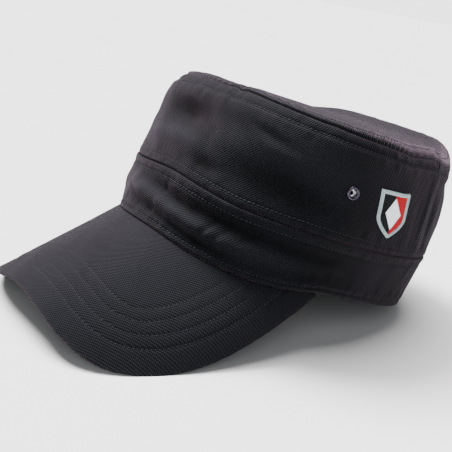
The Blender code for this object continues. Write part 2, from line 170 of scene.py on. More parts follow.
# How far the soft cap's top seam sags towards its rear corners
SAGS = table(
    "angle sag",
    (0, 0.0000),
    (102, 0.0000),
    (110, 0.0016),
    (118, 0.0050),
    (132, 0.0058),
    (152, 0.0008),
    (180, 0.0000),
)

# Small steps where the top seam was caught in the sewing
SEAM_KINKS = table(
    "angle width rise",
    (7.0, 2.2, 0.0005),
    (10.5, 1.8, -0.0008),
    (52.0, 3.0, 0.0003),
    (88.0, 3.0, -0.0004),
    (107.0, 1.6, -0.0007),
    (322.0, 2.4, -0.0004),
)

# Folds and dents of the wall. Each is a soft ridge, or a dent where its depth is negative. length,
# width and depth are shares of BAND_HEIGHT, and turn is the angle of its length to the level line.
FOLDS = table(
    "angle level length width turn depth",
    (-8, 0.50, 0.55, 0.13, -6, 0.070),
    (13, 0.42, 0.50, 0.14, 0, 0.056),
    (31, 0.44, 0.50, 0.14, 3, 0.042),
    (48, 0.42, 0.50, 0.16, 3, 0.035),
    (1, 0.66, 0.60, 0.11, -8, -0.065),
    (20, 0.66, 0.70, 0.13, 3, -0.052),
    (46, 0.66, 0.90, 0.16, 0, -0.045),
    (0, 0.27, 0.75, 0.09, -3, -0.050),
    (23, 0.20, 0.60, 0.09, 0, -0.035),
    (58, 0.30, 0.80, 0.15, 2, -0.030),
    (-8, 1.62, 0.58, 0.21, -4, -0.165),
    (-26, 1.58, 0.50, 0.20, 0, -0.012),
    (-8, 1.33, 0.85, 0.18, -1, 0.070),
    (13, 1.20, 0.36, 0.10, 4, -0.035),
    (21, 1.50, 0.36, 0.16, -20, 0.028),
    (31, 1.72, 0.40, 0.065, -8, -0.030),
    (44, 1.62, 0.95, 0.28, -3, 0.045),
    (38, 1.28, 0.85, 0.22, -4, -0.045),
    (108, 1.50, 0.70, 0.07, 95, 0.030),
    (115, 1.50, 0.70, 0.09, 95, -0.030),
    (128, 1.78, 0.45, 0.12, 0, -0.050),
    (150, 1.45, 0.90, 0.35, -6, 0.040),
    (-45, 1.66, 0.75, 0.26, 4, 0.035),
    (-40, 0.50, 0.80, 0.18, -4, 0.045),
    (-116, 1.45, 0.80, 0.10, 86, 0.040),
)

# Small creases that the cloth takes between the large folds
CREASES = table(
    "angle level length width turn depth",
    (23, 0.46, 0.20, 0.045, 66, -0.030),
    (25, 0.47, 0.18, 0.040, 62, 0.010),
    (28, 0.48, 0.18, 0.045, 58, -0.026),
    (36, 0.56, 0.18, 0.050, 40, -0.018),
    (-16, 0.40, 0.30, 0.060, -30, -0.026),
    (-4, 0.48, 0.30, 0.050, -24, -0.022),
    (46, 0.52, 0.30, 0.090, -8, 0.014),
    (62, 0.62, 0.50, 0.120, 5, -0.012),
    (6, 1.52, 0.40, 0.090, -18, 0.012),
    (19, 1.70, 0.40, 0.070, -12, -0.014),
    (36, 1.60, 0.40, 0.070, -8, 0.014),
    (47, 1.36, 0.45, 0.100, -16, -0.014),
    (-28, 1.46, 0.50, 0.120, 8, 0.016),
    (102, 1.30, 0.40, 0.070, 96, -0.010),
    (120, 1.60, 0.40, 0.070, 80, 0.014),
    (112, 0.75, 0.30, 0.070, 70, 0.014),
    (165, 1.30, 0.50, 0.120, 12, -0.016),
    (190, 1.62, 0.50, 0.120, -8, -0.018),
    (178, 0.45, 0.80, 0.140, 3, 0.018),
    (-70, 1.40, 0.60, 0.140, 14, -0.016),
    (-80, 0.55, 0.60, 0.140, -6, -0.016),
)

# Rings of the top panel. inset is a share of the way to the middle, rise a share of the rim's height.
ROLL_FRONT = 0.0026
ROLL_REAR = 0.0056
ROLL_MIDDLE = 0.0052
ROLL_SPREAD = 0.2
TOP_RINGS = table(
    "inset rise",
    (0.000, 0.00),
    (0.004, 0.24),
    (0.016, 0.54),
    (0.036, 0.82),
    (0.068, 0.98),
    (0.110, 1.00),
    (0.180, 0.94),
    (0.360, 0.90),
    (0.680, 0.92),
    (1.000, 0.92),
)

# Creases across the rolled rim of the top, where the wall's seams and tucks meet it
RIM_CREASES = table(
    "angle width depth",
    (9, 1.1, 0.0010),
    (12, 1.6, -0.0007),
    (109, 1.0, 0.0011),
    (112, 1.8, -0.0006),
    (251, 1.0, 0.0011),
    (330, 1.2, 0.0006),
)

# How the cloth turns in at its edges. away is the distance from the edge, out how far it stands out.
CROWN_LOWER_EDGE = table(
    "away out",
    (-0.0010, -0.0021),
    (0.0000, -0.0015),
    (0.0004, -0.0008),
    (0.0010, -0.0002),
    (0.0022, 0.0001),
    (0.0036, 0.0001),
    (0.0046, -0.0003),
    (0.0060, 0.0000),
    (0.0090, 0.0000),
)
CROWN_TOP_EDGE = table(
    "away out",
    (0.0000, -0.0007),
    (0.0003, -0.0003),
    (0.0008, 0.0001),
    (0.0020, 0.0003),
    (0.0040, 0.0001),
    (0.0054, -0.0005),
    (0.0070, 0.0000),
    (0.0100, 0.0000),
)
BAND_UPPER_EDGE = table(
    "away out",
    (0.0000, -0.0013),
    (0.0003, -0.0003),
    (0.0008, 0.0004),
    (0.0018, 0.0005),
    (0.0036, 0.0002),
    (0.0052, -0.0004),
    (0.0068, 0.0001),
    (0.0100, 0.0000),
)
HEM_EDGE = table(
    "away out",
    (0.0000, -0.0008),
    (0.0003, -0.0002),
    (0.0009, 0.0002),
    (0.0020, 0.0003),
    (0.0034, -0.0004),
    (0.0048, 0.0003),
    (0.0070, 0.0002),
    (0.0110, 0.0000),
)

# Puckers beside the seams: waves in a strip that lies away from one edge. They fade before an edge
# that they would reach.
CROWN_PUCKERS = table(
    "edge depth pitch seed away width fade",
    ("upper", 0.00022, 0.0140, 0.4, 0.0030, 0.0020, 0.0018),
    ("upper", 0.00022, 0.0170, 1.9, 0.0085, 0.0030, 0.0),
    ("lower", 0.00020, 0.0130, 2.8, 0.0024, 0.0018, 0.0018),
    ("lower", 0.00020, 0.0190, 4.1, 0.0080, 0.0030, 0.0),
)
BAND_PUCKERS = table(
    "edge depth pitch seed away width fade",
    ("lower", 0.00026, 0.0105, 0.9, 0.0040, 0.0022, 0.0018),
    ("lower", 0.00025, 0.0150, 3.3, 0.0085, 0.0030, 0.0),
    ("upper", 0.00018, 0.0110, 2.2, 0.0034, 0.0020, 0.0018),
)
TOP_PUCKERS = table(
    "edge depth pitch seed away width fade",
    ("rim", 0.00016, 0.0130, 1.4, 0.0020, 0.0014, 0.0016),
    ("rim", 0.00018, 0.0160, 2.9, 0.0062, 0.0026, 0.0),
)


def smooth(share):
    """A share from 0 to 1 that starts and ends gently."""
    share = np.clip(share, 0.0, 1.0)
    return share * share * (3.0 - 2.0 * share)


def bell(at, place, width):
    """1 at a place, falling to 0 within about two widths of it."""
    return np.exp(-(((at - place) / width) ** 2))


def apart(angle, place):
    """Degrees around the cap from a place to an angle, between -180 and 180."""
    return (angle - place + 180.0) % 360.0 - 180.0


def read_table(rows, key, at, column):
    """Values of a table's column between its rows, along a smooth curve through them."""
    places = np.array([row[key] for row in rows], float)
    values = np.array([row[column] for row in rows], float)
    before = np.maximum(np.arange(len(rows)) - 1, 0)
    after = np.minimum(np.arange(len(rows)) + 1, len(rows) - 1)
    slopes = (values[after] - values[before]) / (places[after] - places[before])
    at = np.clip(at, places[0], places[-1])
    i = np.clip(np.searchsorted(places, at, side="right") - 1, 0, len(rows) - 2)
    span = places[i + 1] - places[i]
    share = (at - places[i]) / span
    rise = values[i + 1] - values[i]
    bend = (1.0 - share) * slopes[i] * span - share * slopes[i + 1] * span
    return values[i] + smooth(share) * rise + share * (1.0 - share) * bend


def ripple(along, pitch, seed):
    """Uneven waves along a seam, between about -1 and 1."""
    turn = 2.0 * math.pi * along / pitch
    waves = np.sin(turn + seed) + 0.7 * np.sin(1.63 * turn + 2.1 * seed) + 0.5 * np.sin(2.71 * turn + 3.7 * seed)
    return waves * (0.55 + 0.25 * np.sin(0.23 * turn + 1.3 * seed))


def outline(angle, level):
    """Plan point of the wall at an angle in degrees from the front, towards the wearer's left."""
    width, front, rear, front_power, rear_power = (
        read_table(OUTLINES, "level", level, column)
        for column in ("width", "front", "rear", "front_power", "rear_power")
    )
    turn = np.radians(angle)
    ahead = np.cos(turn) > 0.0
    reach = np.where(ahead, HEAD_FRONT * front, HEAD_REAR * rear)
    power = np.where(ahead, front_power, rear_power)
    across = np.abs(np.sin(turn)) / (HEAD_HALF_WIDTH * width)
    along = np.abs(np.cos(turn)) / reach
    radius = (across**power + along**power) ** (-1.0 / power)
    return radius * np.sin(turn), -radius * np.cos(turn)


def peak_height(x, y):
    """Height of the peak's upper face: a slope that steepens to the sides, less an elliptic arch."""
    share = np.minimum(np.abs(x) / PEAK_ARCH_HALF_WIDTH, PEAK_ARCH_LIMIT)
    slope = math.tan(PEAK_SLOPE) + PEAK_SIDE_STEEPENING * share * share
    arch = PEAK_ARCH_DEPTH * (1.0 - np.sqrt(1.0 - share * share))
    return PEAK_SEAM_HEIGHT + slope * (y + HEAD_FRONT) - arch


def folded(angle):
    """Degrees from the front on either side, from 0 to 180."""
    return np.abs(apart(angle, 0.0))


def hem_height(angle):
    side = folded(angle)
    ahead_x, ahead_y = outline(np.minimum(side, PEAK_END_ANGLE), 0.0 * side)
    on_peak = peak_height(ahead_x, ahead_y) + SEAM_GAP
    fall = read_table(HEIGHTS, "angle", side, "hem") / read_table(HEIGHTS, "angle", PEAK_END_ANGLE, "hem")
    return np.where(side > PEAK_END_ANGLE, on_peak * fall, on_peak)


def seam_height(angle):
    return BAND_HEIGHT * read_table(HEIGHTS, "angle", folded(angle), "seam")


def seam_kink(angle):
    rise = 0.0 * angle
    for kink in SEAM_KINKS:
        rise = rise + kink["rise"] * bell(apart(angle, kink["angle"]), 0.0, kink["width"])
    return rise


def top_height(angle):
    side = folded(angle)
    level = (BAND_HEIGHT + CROWN_HEIGHT) * read_table(HEIGHTS, "angle", side, "top")
    return level - read_table(SAGS, "angle", side, "sag") + seam_kink(angle)


def plain_point(angle, level):
    """Point of the wall's outer face before its folds, with a last axis of three."""
    x, y = outline(angle, level)
    hem = hem_height(angle)
    seam = seam_height(angle)
    top = top_height(angle)
    z = np.where(level < 1.0, hem + (seam - hem) * level, seam + (top - seam) * (level - 1.0))
    return np.stack([x, y, z], axis=-1)


def unit(vectors):
    return vectors / np.maximum(np.linalg.norm(vectors, axis=-1, keepdims=True), 1e-12)


def around_wall(angle):
    """Length along the wall from its front to an angle."""
    return np.radians(angle) * (HEAD_HALF_WIDTH + HEAD_FRONT) / 2.0


def wall_normal(angle, level):
    across = plain_point(angle + 1.0, level) - plain_point(angle - 1.0, level)
    up = plain_point(angle, np.minimum(level + 0.01, 2.0)) - plain_point(angle, np.maximum(level - 0.01, 0.0))
    return unit(np.cross(across, up))


def fold_depth(angle, level):
    """How far folds and creases move the wall outwards. They fade at its three level lines."""
    total = np.zeros_like(level)
    wall = np.where(level < 1.0, BAND_HEIGHT, CROWN_HEIGHT)
    for fold in FOLDS + CREASES:
        along = around_wall(apart(angle, fold["angle"]))
        rise = (level - fold["level"]) * wall
        turn = math.radians(fold["turn"])
        length = (along * math.cos(turn) + rise * math.sin(turn)) / (fold["length"] * BAND_HEIGHT)
        width = (rise * math.cos(turn) - along * math.sin(turn)) / (fold["width"] * BAND_HEIGHT)
        depth = fold["depth"] * BAND_HEIGHT * np.exp(-length * length - width * width)
        same_wall = np.minimum(level.astype(int), 1) == int(fold["level"])
        total += np.where(same_wall, depth, 0.0)
    from_line = np.minimum(np.minimum(level, np.abs(level - 1.0)), np.abs(2.0 - level))
    return total * smooth(from_line / FOLD_FADE)


def set_down(points):
    """Lean level points back to where the cap stands. None goes below the surface it stands on."""
    lean = Matrix.Rotation(-LEAN, 4, "X")
    rear_x, rear_y = outline(180.0, 0.0)
    rear = lean @ Vector((rear_x, rear_y, float(hem_height(np.array(180.0)))))
    front_y = (lean @ Vector((0.0, -HEAD_FRONT - PEAK_REACH, 0.0))).y
    top_y = (lean @ Vector((0.0, outline(180.0, 1.3)[1], BAND_HEIGHT + 0.3 * CROWN_HEIGHT))).y
    shift = np.array([0.0, -(front_y + top_y) / 2.0, -rear.z - PRESSED])
    turn = np.array(lean.to_3x3())
    placed = points @ turn.T + shift
    placed[..., 2] = np.maximum(placed[..., 2], CLEARANCE)
    return placed


def show(name, data):
    """Put an object with this mesh, lamp or camera in the scene."""
    made = bpy.data.objects.new(name, data)
    bpy.context.scene.collection.objects.link(made)
    return made


def add_mesh(name, verts, faces, surface, uvs=None, wear_and_highlight=None, painted_fold_shade=None):
    """Make an object from arrays. uvs and the two attribute arrays hold one value for each vertex: one for worn
    edges, which on the eyelets marks their throats for a painted highlight, and the fold depth for painted shade in
    hollows and painted light on ridges.
    """
    mesh = bpy.data.meshes.new(name)
    mesh.from_pydata([tuple(v) for v in verts], [], [tuple(int(i) for i in face) for face in faces])
    if uvs is not None:
        layer = mesh.uv_layers.new(name="cloth")
        corners = np.zeros(len(mesh.loops), int)
        mesh.loops.foreach_get("vertex_index", corners)
        layer.data.foreach_set("uv", np.asarray(uvs, float)[corners].ravel())
    for label, values in (("wear_and_highlight", wear_and_highlight), ("painted_fold_shade", painted_fold_shade)):
        if values is not None:
            layer = mesh.attributes.new(label, "FLOAT", "POINT")
            layer.data.foreach_set("value", np.asarray(values, float).ravel())
    mesh.materials.append(surface)
    mesh.shade_smooth()
    return show(name, mesh)


def grid_faces(rows, columns, closed):
    """Four-sided faces over a grid of points, and across its ends where it is closed."""
    here = np.arange(rows * columns).reshape(rows, columns)
    if closed:
        here = np.hstack([here, here[:, :1]])
    low, high = here[:-1], here[1:]
    return np.stack([low[:, :-1], low[:, 1:], high[:, 1:], high[:, :-1]], axis=-1).reshape(-1, 4)


def disc_faces(rings, columns):
    """Faces over closed rings of points, and a fan from the last ring to one more point in its middle."""
    faces = [tuple(face) for face in grid_faces(rings, columns, True)]
    last = (rings - 1) * columns
    return faces + [(last + i, last + (i + 1) % columns, rings * columns) for i in range(columns)]


def settle(made):
    """Turn a piece's modifiers into plain mesh that stays above the surface it stands on."""
    graph = bpy.context.evaluated_depsgraph_get()
    mesh = bpy.data.meshes.new_from_object(made.evaluated_get(graph))
    places = np.zeros(3 * len(mesh.vertices), np.float32)
    mesh.vertices.foreach_get("co", places)
    places[2::3] = np.maximum(places[2::3], CLEARANCE)
    mesh.vertices.foreach_set("co", places)
    made.modifiers.clear()
    made.data = mesh
    return made


def thicken(made, thickness, offset=-1.0):
    wall = made.modifiers.new("thickness", "SOLIDIFY")
    wall.thickness = thickness
    wall.offset = offset
    return settle(made)


def spread(edge_steps, length, middle_step):
    """Distances along a length: close steps at both ends and even ones between."""
    steps = np.array(edge_steps)
    count = max(2, int(round((length - 2.0 * steps[-1]) / middle_step)))
    middle = np.linspace(steps[-1], length - steps[-1], count + 1)[1:-1]
    return np.concatenate([steps, middle, length - steps[::-1]])


def puckers(rows, along, edges):
    """Waves of the cloth beside its seams. edges holds the distances from each edge by name."""
    out = 0.0 * along
    for row in rows:
        away = edges[row["edge"]]
        waves = row["depth"] * ripple(along, row["pitch"], row["seed"]) * bell(away, row["away"], row["width"])
        out = out + (waves * smooth(away / row["fade"]) if row["fade"] else waves)
    return out


def crown_relief(angle, level):
    """Seam rolls, stitch grooves and puckers of the upper wall."""
    tall = top_height(angle) - seam_height(angle)
    low = (level - 1.0) * tall
    high = (2.0 - level) * tall
    along = around_wall(angle)
    out = read_table(CROWN_LOWER_EDGE, "away", low, "out") + read_table(CROWN_TOP_EDGE, "away", high, "out")
    out += puckers(CROWN_PUCKERS, along, {"lower": low, "upper": high})
    out += 0.00035 * ripple(along + 0.6 * low, 0.0520, 5.5) * smooth(low / 0.012) * smooth(high / 0.012)
    return out


def band_relief(angle, level):
    """Seam roll, turned hem, stitch grooves and puckers of the band."""
    tall = seam_height(angle) - hem_height(angle)
    low = level * tall
    high = (1.0 - level) * tall
    along = around_wall(angle)
    out = read_table(HEM_EDGE, "away", low, "out") + read_table(BAND_UPPER_EDGE, "away", high, "out")
    out += puckers(BAND_PUCKERS, along, {"lower": low, "upper": high})
    out += 0.00030 * ripple(along - 0.5 * low, 0.0430, 1.1) * smooth(low / 0.010) * smooth(high / 0.010)
    return out


def wall_point(angle, level, lift=0.0):
    """Point of the dressed wall's outer face, lifted off it along its normal."""
    angle = np.asarray(angle, float) + 0.0 * np.asarray(level, float)
    level = np.asarray(level, float) + 0.0 * angle
    crown = crown_relief(angle, np.maximum(level, 1.0 - 0.02))
    band = band_relief(angle, np.minimum(level, 1.0))
    relief = np.where(level < 1.0, band, crown)
    depth = fold_depth(angle, level) + relief + lift
    return plain_point(angle, level) + wall_normal(angle, level) * depth[..., None]


def wall_cloth(name, base, angles, closed, relief, tuck, thickness, surface, holes=()):
    """One cloth of the wall above a level line, with its turned edges. tuck goes behind the cloth below."""
    walls = (seam_height(angles) - hem_height(angles), top_height(angles) - seam_height(angles))
    tall = float(np.mean(walls[int(base)]))
    away = spread(EDGE_STEPS, tall, WALL_STEP)
    levels = base + away / tall
    if tuck:
        levels = np.concatenate([[base - tuck / tall], levels])
    angle, level = np.meshgrid(angles, levels)
    shown = np.clip(level, 0.0, 2.0)
    folds = fold_depth(angle, shown)
    depth = folds + relief(angle, level)
    points = plain_point(angle, shown) + wall_normal(angle, shown) * depth[..., None]
    points[level < base, 2] -= tuck
    points = points.reshape(-1, 3)
    faces = grid_faces(len(levels), len(angles), closed)
    for hole, radius in holes:
        middle = points[faces].mean(axis=1)
        faces = faces[np.linalg.norm(middle - hole, axis=1) > radius]
    rise = (level - base) * tall
    uvs = np.stack([around_wall(angle), rise], axis=-1).reshape(-1, 2)
    if closed:
        uvs[:, 0] = np.abs(uvs[:, 0] - around_wall(180.0))
    edge = np.minimum(np.abs(rise), np.abs(tall - rise))
    wear_and_highlight = 0.9 * bell(edge, 0.0012, 0.0011) + 0.25 * smooth(relief(angle, level) / 0.0006)
    # Fold depth for painted shade in the folds' hollows and painted light on their ridges
    painted_fold_shade = np.clip(folds / 0.0020, -1.6, 0.8)
    made = add_mesh(name, set_down(points), faces, surface, uvs, wear_and_highlight, painted_fold_shade)
    return thicken(made, thickness)


def roll_height(angle):
    """Height of the top's rolled rim."""
    share = (1.0 - np.cos(np.radians(angle))) / 2.0
    return ROLL_FRONT + (ROLL_REAR - ROLL_FRONT) * smooth(2.0 * share)


def top_point(angle, inset):
    """Point of the top panel: inset is 0 at its seam and 1 in its middle."""
    angle = np.asarray(angle, float) + 0.0 * np.asarray(inset, float)
    inset = np.asarray(inset, float) + 0.0 * angle
    front_y = outline(0.0, 2.0)[1]
    rear_y = outline(180.0, 2.0)[1]
    middle_y = (front_y + rear_y) / 2.0
    x, y = outline(angle, 2.0 + 0.0 * angle)
    away = inset * HEAD_HALF_WIDTH
    base = top_height(angle) - seam_kink(angle) * smooth(away / 0.008) + TOP_GAP
    level = float(top_height(np.array(90.0))) + TOP_GAP + TOP_FULLNESS
    tilt = (float(top_height(np.array(180.0))) - float(top_height(np.array(0.0)))) / (rear_y - front_y)
    plane = level + tilt * (middle_y + (y - middle_y) * (1.0 - inset))
    fade = smooth(inset / 0.5)
    height = base * (1.0 - fade) + plane * fade
    wide = 1.0 + ROLL_SPREAD * smooth((folded(angle) - 70.0) / 60.0)
    roll = roll_height(angle) + (ROLL_MIDDLE - roll_height(angle)) * smooth(inset)
    height += roll * read_table(TOP_RINGS, "inset", inset / wide, "rise")
    along = around_wall(angle)
    height += puckers(TOP_PUCKERS, along, {"rim": away})
    height -= TOP_GROOVE_DEPTH * bell(away, TOP_ROW, TOP_GROOVE_WIDTH)
    across = x * (1.0 - inset)
    back = (y - middle_y) * (1.0 - inset)
    slack = ripple(across + 0.3 * back, 0.0950, 0.7) + ripple(back - 0.2 * across, 0.0800, 2.2)
    height += 0.0003 * slack * smooth((away - 0.006) / 0.02)
    for crease in RIM_CREASES:
        near = apart(angle, crease["angle"])
        height -= crease["depth"] * bell(near, 0.0, crease["width"]) * bell(away, 0.0034, 0.0022)
    share = 1.0 - inset - 0.004 * bell(away, 0.0, 0.00030)
    return np.stack([x * share, middle_y + (y - middle_y) * share, height], axis=-1)


def top_cloth(surface):
    """The oval top, from a lip tucked inside the wall over its rolled rim to its middle."""
    angles = np.arange(0.0, 360.0, RING_STEP)
    steps = (np.array(EDGE_STEPS), np.linspace(0.0096, 0.0270, 14), np.linspace(0.0300, 0.0860, 22))
    away = np.concatenate(steps)
    angle, ring = np.meshgrid(angles, away / HEAD_HALF_WIDTH)
    points = top_point(angle, ring)
    narrower = 1.0 - TOP_LIP / HEAD_HALF_WIDTH
    lip = points[:1] * (narrower, narrower, 1.0)
    lip[..., 2] -= TOP_LIP_DROP
    points = np.concatenate([lip, points]).reshape(-1, 3)
    ring = np.concatenate([ring[:1], ring])
    points = np.vstack([points, points[-len(angles):].mean(axis=0)])
    edge = np.append((ring * HEAD_HALF_WIDTH).reshape(-1), HEAD_HALF_WIDTH)
    wear_and_highlight = 0.8 * bell(edge, 0.0014, 0.0013)
    faces = disc_faces(len(ring), len(angles))
    made = add_mesh("top_panel_cloth", set_down(points), faces, surface, points[:, :2], wear_and_highlight)
    return thicken(made, CROWN_THICKNESS)


def peak_plan(share, out):
    """Plan point of the peak: share runs from -1 to 1 across it, out from its seam to its edge."""
    angle = PEAK_END_ANGLE * share
    seam_x, seam_y = outline(angle, 0.0 * angle)
    length = np.hypot(seam_x, seam_y)
    tuck = 1.0 - PEAK_TUCK * (1.0 - share * share) / length
    end_x, end_y = outline(PEAK_END_ANGLE, 0.0)
    forward = HEAD_FRONT + end_y + PEAK_REACH
    turn = math.pi / 2.0 * share
    power = 2.0 / PEAK_OUTLINE_POWER
    edge_x = end_x * np.sign(share) * np.abs(np.sin(turn)) ** power
    edge_y = end_y - forward * np.maximum(np.cos(turn), 0.0) ** power
    outward = np.maximum(out, 0.0)
    under = 1.0 + np.minimum(out, 0.0) * PEAK_LIP / length
    x = seam_x * tuck * under + (edge_x - seam_x * tuck) * outward
    y = seam_y * tuck * under + (edge_y - seam_y * tuck) * outward
    return x, y


def peak_plain(share, out):
    """Point of the peak's upper face. Inside its seam it runs level under the band's hem."""
    x, y = peak_plan(share, out)
    seam_x, seam_y = peak_plan(share, np.maximum(out, 0.0))
    return np.stack([x, y, peak_height(seam_x, seam_y)], axis=-1)


def peak_grid():
    """Plain points and normals over the peak, from its lip to its edge, and their distances to the edge."""
    shares = PEAK_SIDE_SHARE * np.sin(math.pi / 2.0 * np.linspace(-1.0, 1.0, PEAK_COLUMNS))
    outs = np.concatenate([(-1.0, -0.5), np.linspace(0.0, 1.0, PEAK_LINES - 2)])
    share, out = np.meshgrid(shares, outs)
    points = peak_plain(share, out)
    step = 0.002
    across = peak_plain(share + step, out) - peak_plain(share - step, out)
    outward = np.maximum(out, 0.0)
    forth = peak_plain(share, outward + 2.0 * step) - peak_plain(share, outward)
    normals = unit(np.cross(forth, across))
    normals *= np.sign(normals[..., 2:3])
    rim_share = 0.999 * np.sin(math.pi / 2.0 * np.linspace(-1.0, 1.0, 400))
    rim = peak_plain(rim_share, 1.0 + 0.0 * rim_share)
    near = np.array([np.linalg.norm(rim - p, axis=1).min() for p in points.reshape(-1, 3)])
    return points, normals, near.reshape(share.shape)


def peak_relief(near, across):
    """Grooves of the stitch rows and the slight swell between them."""
    out = np.zeros_like(near)
    for row in PEAK_ROWS:
        out -= PEAK_GROOVE_DEPTH * bell(near, row, PEAK_GROOVE_WIDTH)
    swell = smooth((near - PEAK_ROWS[0]) / 0.004) * smooth((PEAK_ROWS[-1] - near) / 0.004)
    return out + 0.00012 * swell + 0.00016 * ripple(across + 0.7 * near, 0.0310, 2.3)


def peak_cloth(surface):
    """The peak: cloth over a board, with a rounded edge."""
    points, normals, near = peak_grid()
    points = points + normals * peak_relief(near, points[..., 0])[..., None]
    points = points[::-1].reshape(-1, 3)
    wear_and_highlight = 0.9 * bell(near[::-1], 0.0004, 0.0012).reshape(-1)
    faces = grid_faces(PEAK_LINES, PEAK_COLUMNS, False)
    made = add_mesh("peak_cloth", set_down(points), faces, surface, points[:, :2], wear_and_highlight)
    board = made.modifiers.new("thickness", "SOLIDIFY")
    board.thickness = PEAK_THICKNESS
    board.offset = -1.0
    rounding = made.modifiers.new("edge rounding", "BEVEL")
    rounding.width = PEAK_EDGE_ROUNDING
    rounding.segments = 3
    rounding.limit_method = "ANGLE"
    rounding.angle_limit = math.radians(50)
    return settle(made)


def wire(tree, *joints):
    """Join sockets of a node tree. Each joint names a node and its output, then a node and its input."""
    for source, output, target, entry in joints:
        tree.links.new(source.outputs[output], target.inputs[entry])


def thread_tree(name, as_stitches):
    """Node tree that lays thread along the edges of a mesh, whole or as separate stitches."""
    tree = bpy.data.node_groups.new(name, "GeometryNodeTree")
    add = tree.nodes.new
    face = tree.interface
    face.new_socket(name="Geometry", in_out="INPUT", socket_type="NodeSocketGeometry")
    sockets = {}
    for label, value in (("Pitch", STITCH_PITCH), ("Length", STITCH_LENGTH), ("Radius", THREAD_RADIUS)):
        socket = face.new_socket(name=label, in_out="INPUT", socket_type="NodeSocketFloat")
        socket.default_value = value
        sockets[label] = socket.identifier
    thread = face.new_socket(name="Thread", in_out="INPUT", socket_type="NodeSocketMaterial")
    sockets["Thread"] = thread.identifier
    face.new_socket(name="Geometry", in_out="OUTPUT", socket_type="NodeSocketGeometry")
    given = add("NodeGroupInput")
    result = add("NodeGroupOutput")
    curve = add("GeometryNodeMeshToCurve")
    whole = add("GeometryNodeRealizeInstances")
    if as_stitches:
        even = add("GeometryNodeResampleCurve")
        even.mode = "LENGTH"
        ball = add("GeometryNodeMeshUVSphere")
        for label, value in (("Segments", THREAD_SIDES), ("Rings", THREAD_SIDES), ("Radius", 1.0)):
            ball.inputs[label].default_value = value
        half = add("ShaderNodeMath")
        half.operation = "MULTIPLY"
        half.inputs[1].default_value = 0.5
        size = add("ShaderNodeCombineXYZ")
        tangent = add("GeometryNodeInputTangent")
        turn = add("FunctionNodeAlignRotationToVector")
        turn.axis = "Z"
        place = add("GeometryNodeInstanceOnPoints")
        wire(
            tree,
            (curve, "Curve", even, "Curve"),
            (given, "Pitch", even, "Length"),
            (given, "Length", half, 0),
            (given, "Radius", size, "X"),
            (given, "Radius", size, "Y"),
            (half, 0, size, "Z"),
            (tangent, "Tangent", turn, "Vector"),
            (even, "Curve", place, "Points"),
            (ball, "Mesh", place, "Instance"),
            (turn, "Rotation", place, "Rotation"),
            (size, "Vector", place, "Scale"),
            (place, "Instances", whole, "Geometry"),
        )
    else:
        ring = add("GeometryNodeCurvePrimitiveCircle")
        ring.mode = "RADIUS"
        ring.inputs["Resolution"].default_value = THREAD_SIDES
        sweep = add("GeometryNodeCurveToMesh")
        sweep.inputs["Fill Caps"].default_value = True
        wire(
            tree,
            (given, "Radius", ring, "Radius"),
            (curve, "Curve", sweep, "Curve"),
            (ring, "Curve", sweep, "Profile Curve"),
            (sweep, "Mesh", whole, "Geometry"),
        )
    soft = add("GeometryNodeSetShadeSmooth")
    dye = add("GeometryNodeSetMaterial")
    wire(
        tree,
        (given, "Geometry", curve, "Mesh"),
        (whole, "Geometry", soft, "Geometry"),
        (soft, "Geometry", dye, "Geometry"),
        (given, "Thread", dye, "Material"),
        (dye, "Geometry", result, "Geometry"),
    )
    return tree, sockets


def sew(name, lines, kit, surface, pitch=STITCH_PITCH, length=STITCH_LENGTH, radius=THREAD_RADIUS):
    """Lay thread along lines of level points, and settle it to one plain mesh."""
    tree, sockets = kit
    verts = []
    edges = []
    for line in lines:
        start = len(verts)
        verts += [tuple(p) for p in set_down(np.asarray(line, float))]
        edges += [(start + i, start + i + 1) for i in range(len(line) - 1)]
    mesh = bpy.data.meshes.new(name)
    mesh.from_pydata(verts, edges, [])
    made = show(name, mesh)
    lay = made.modifiers.new("thread", "NODES")
    lay.node_group = tree
    for label, value in (("Pitch", pitch), ("Length", length), ("Radius", radius), ("Thread", surface)):
        lay[sockets[label]] = value
    return settle(made)


def stitch_rows():
    """Every stitch row of the walls, the top and the peak."""
    lift = 0.9 * THREAD_RADIUS
    ring = np.arange(0.0, 360.01, 0.5)
    tall = top_height(ring) - seam_height(ring)
    low = seam_height(ring) - hem_height(ring)
    crown = [
        wall_point(ring, 2.0 - CROWN_TOP_ROW / tall, lift),
        wall_point(ring, 1.0 + CROWN_LOWER_ROW / tall, lift),
    ]
    band = [
        wall_point(ring, 1.0 - BAND_UPPER_ROW / low, lift),
        wall_point(ring, HEM_ROW / low, lift),
    ]
    up = np.linspace(1.03, 1.97, 60)
    for side in (1.0, -1.0):
        crown.append(wall_point(side * (REAR_SEAM_ANGLE - REAR_ROW_TURN) + 0.0 * up, up, lift))
    top = top_point(ring, TOP_ROW / HEAD_HALF_WIDTH + 0.0 * ring) + np.array([0.0, 0.0, lift])
    return {
        "crown_stitches": crown,
        "band_stitches": band,
        "top_stitches": [top],
        "peak_stitches": peak_stitch_lines(),
    }


def peak_stitch_lines():
    """The peak's stitch rows, each the same distance from its edge all along."""
    points, normals, near = peak_grid()
    lift = 0.3 * PEAK_THREAD_RADIUS
    points = points + normals * (peak_relief(near, points[..., 0]) + lift)[..., None]
    lines = []
    for row in PEAK_ROWS:
        line = []
        for i in range(PEAK_COLUMNS):
            from_edge, column = near[:, i], points[:, i]
            if from_edge[2] > row:
                line.append([np.interp(-row, -from_edge, column[:, axis]) for axis in range(3)])
        lines.append(np.array(line))
    return lines


def wall_frame(angle, level):
    """Placement on the wall: X runs around it, Y up it and Z out."""
    point = Vector(wall_point(angle, level))
    out = Vector(wall_normal(np.array(angle), np.array(level)))
    up = (Vector((0.0, 0.0, 1.0)) - out * out.z).normalized()
    across = up.cross(out)
    return point, across, up, out


